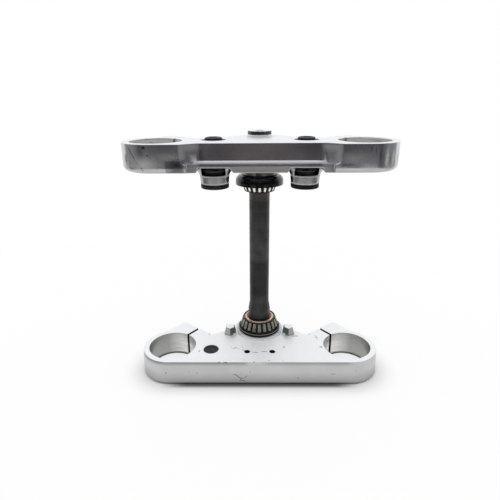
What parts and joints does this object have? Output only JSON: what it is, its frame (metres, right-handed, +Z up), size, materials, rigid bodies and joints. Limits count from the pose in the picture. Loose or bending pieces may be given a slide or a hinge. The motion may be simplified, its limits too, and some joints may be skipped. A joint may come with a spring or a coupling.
{
  "type": "motorcycle triple clamp",
  "caption": "Motorcycle fork triple clamp: upper and lower alloy clamps on a hollow steering stem, with head bearings, adjuster nut, dust covers and rubber handlebar bushes.",
  "frame": {"origin": "on the steering axis, at the open lower end of the stem, level with the underside of the lower clamp", "axes": "+Z up the steering axis, -Y ahead towards the fork bores, +X to the right as seen from the front"},
  "size_m": [0.26, 0.0975, 0.2558],
  "materials": {
    "lower_alloy": "satin blasted, machined top",
    "upper_alloy": "satin blasted, machined top",
    "stem_steel": "dark turned steel",
    "fastener_steel": "zinc plated",
    "adjuster_steel": "turned steel",
    "cover_steel": "gloss black",
    "race_steel": "ground, greasy",
    "roller_steel": "ground, greasy",
    "cage_steel": "blackened sheet",
    "seal_rubber": "matt",
    "bush_rubber": "satin"
  },
  "bodies": {
    "clamps_and_stem": {"lower_clamp": "lower_alloy", "upper_clamp": "upper_alloy", "steering_stem": "stem_steel", "stem_head_bolt": "fastener_steel", "stem_washer": "fastener_steel", "adjuster_nut": "adjuster_steel", "upper_dust_cover": "cover_steel", "upper_inner_race": "race_steel", "lower_inner_race": "race_steel", "lower_dust_seal": "seal_rubber", "bar_bush_upper_left": "bush_rubber", "bar_bush_upper_right": "bush_rubber", "bar_bush_lower_left": "bush_rubber", "bar_bush_lower_right": "bush_rubber", "lower_pinch_bolt_left": "fastener_steel", "lower_pinch_bolt_right": "fastener_steel", "upper_pinch_bolt_left": "fastener_steel", "upper_pinch_bolt_right": "fastener_steel", "hole_plug": "bush_rubber"},
    "upper_roller_set": {"upper_roller_cage": "cage_steel", "upper_rollers": "roller_steel"},
    "lower_roller_set": {"lower_roller_cage": "cage_steel", "lower_rollers": "roller_steel"}
  },
  "joints": [
    {"name": "upper_bearing_turn", "type": "hinge", "parent": "clamps_and_stem", "child": "upper_roller_set", "pos_m": [0, 0, 0.2013], "axis": [0, 0, 1], "continuous": true},
    {"name": "lower_bearing_turn", "type": "hinge", "parent": "clamps_and_stem", "child": "lower_roller_set", "pos_m": [0, 0, 0.039], "axis": [0, 0, 1], "continuous": true}
  ]
}
